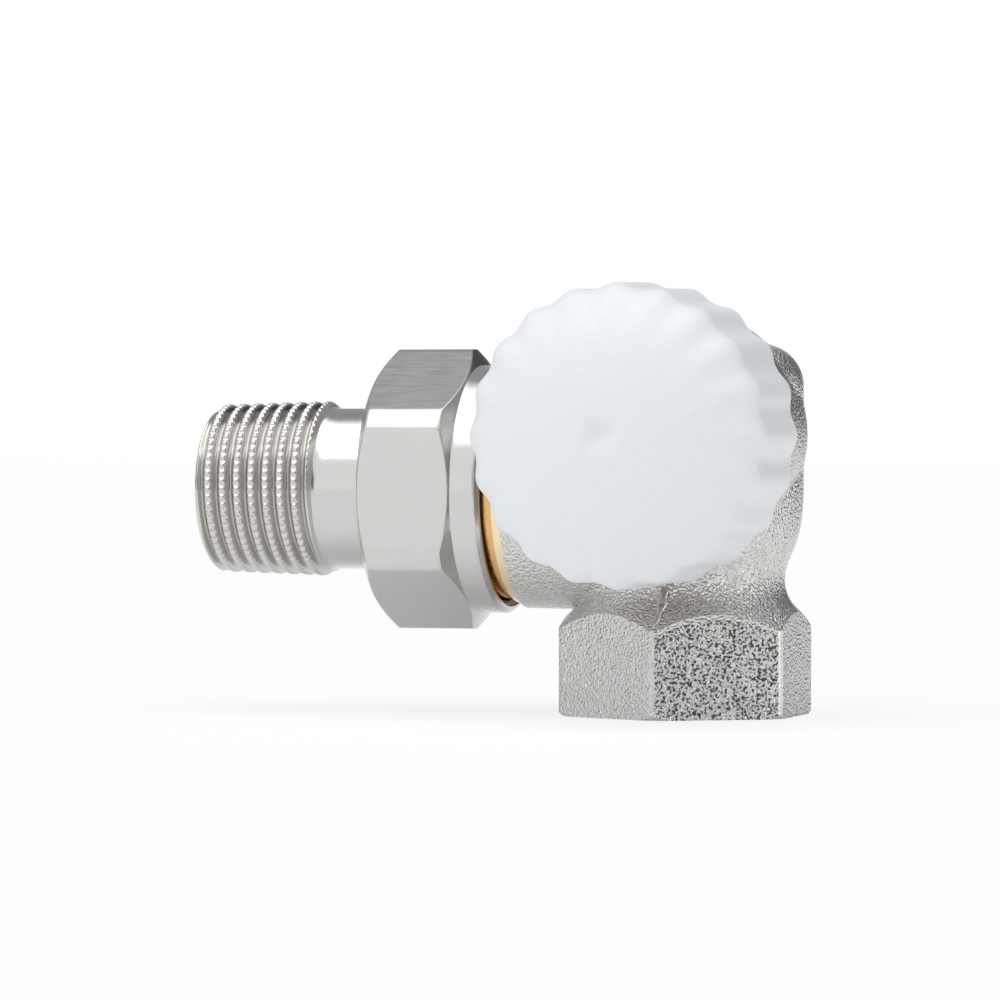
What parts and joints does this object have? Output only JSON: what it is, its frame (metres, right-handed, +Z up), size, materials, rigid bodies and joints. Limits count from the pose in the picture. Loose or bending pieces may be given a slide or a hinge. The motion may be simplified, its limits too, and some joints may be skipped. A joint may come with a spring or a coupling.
{
  "type": "radiator valve body",
  "caption": "Angle radiator valve body with a threaded inlet socket, a union outlet with nut and tailpiece, and a spring-loaded valve insert under a fluted protective cap.",
  "frame": {"origin": "centre of the inlet socket's face", "axes": "+Z up along the inlet axis into the body, -X along the union outlet, -Y along the head connection and its cap, towards the viewer"},
  "size_m": [0.0756, 0.0537, 0.0506],
  "materials": {
    "plated_casting": "blasted gunmetal casting under matt nickel plate",
    "plated_nut": "turned brass under satin nickel plate",
    "plated_tailpiece": "turned brass under satin nickel plate, knurled thread",
    "cap_plastic": "moulded white plastic, satin",
    "insert_brass": "turned bare brass",
    "seal_rubber": "moulded black rubber",
    "stainless": "drawn stainless steel"
  },
  "bodies": {
    "body": {"valve_body": "plated_casting", "insert_housing": "insert_brass", "insert_o_ring": "seal_rubber", "guide_bush": "insert_brass", "return_spring": "stainless", "inner_o_ring": "seal_rubber", "gland_washer": "insert_brass", "outer_o_ring": "seal_rubber", "gland_nut": "insert_brass"},
    "spindle": {"spindle": "stainless", "valve_plug": "insert_brass", "plug_seal": "seal_rubber", "plug_retainer": "stainless", "spring_washer": "stainless", "circlip": "stainless"},
    "cap": {"protective_cap": "cap_plastic"},
    "tailpiece": {"tailpiece": "plated_tailpiece"},
    "nut": {"union_nut": "plated_nut"}
  },
  "joints": [
    {"name": "spindle_slide", "type": "slide", "parent": "body", "child": "spindle", "axis": [0, 1, 0], "range_m": [0, 0.00225], "deforming": ["return_spring"]},
    {"name": "cap_turn", "type": "hinge", "parent": "spindle", "child": "cap", "pos_m": [0, 0, 0.033], "axis": [0, 1, 0], "range_deg": [0, 540]},
    {"name": "tailpiece_slide", "type": "slide", "parent": "body", "child": "tailpiece", "axis": [-1, 0, 0], "range_m": [0, 0.00907]},
    {"name": "nut_turn", "type": "hinge", "parent": "tailpiece", "child": "nut", "pos_m": [0, 0, 0.0265], "axis": [-1, 0, 0], "range_deg": [0, 1800]}
  ],
  "couplings": [
    {"joint": "spindle_slide", "follows": "cap_turn", "m_per_rad": 0.00023873},
    {"joint": "tailpiece_slide", "follows": "nut_turn", "m_per_rad": 0.00028871}
  ]
}
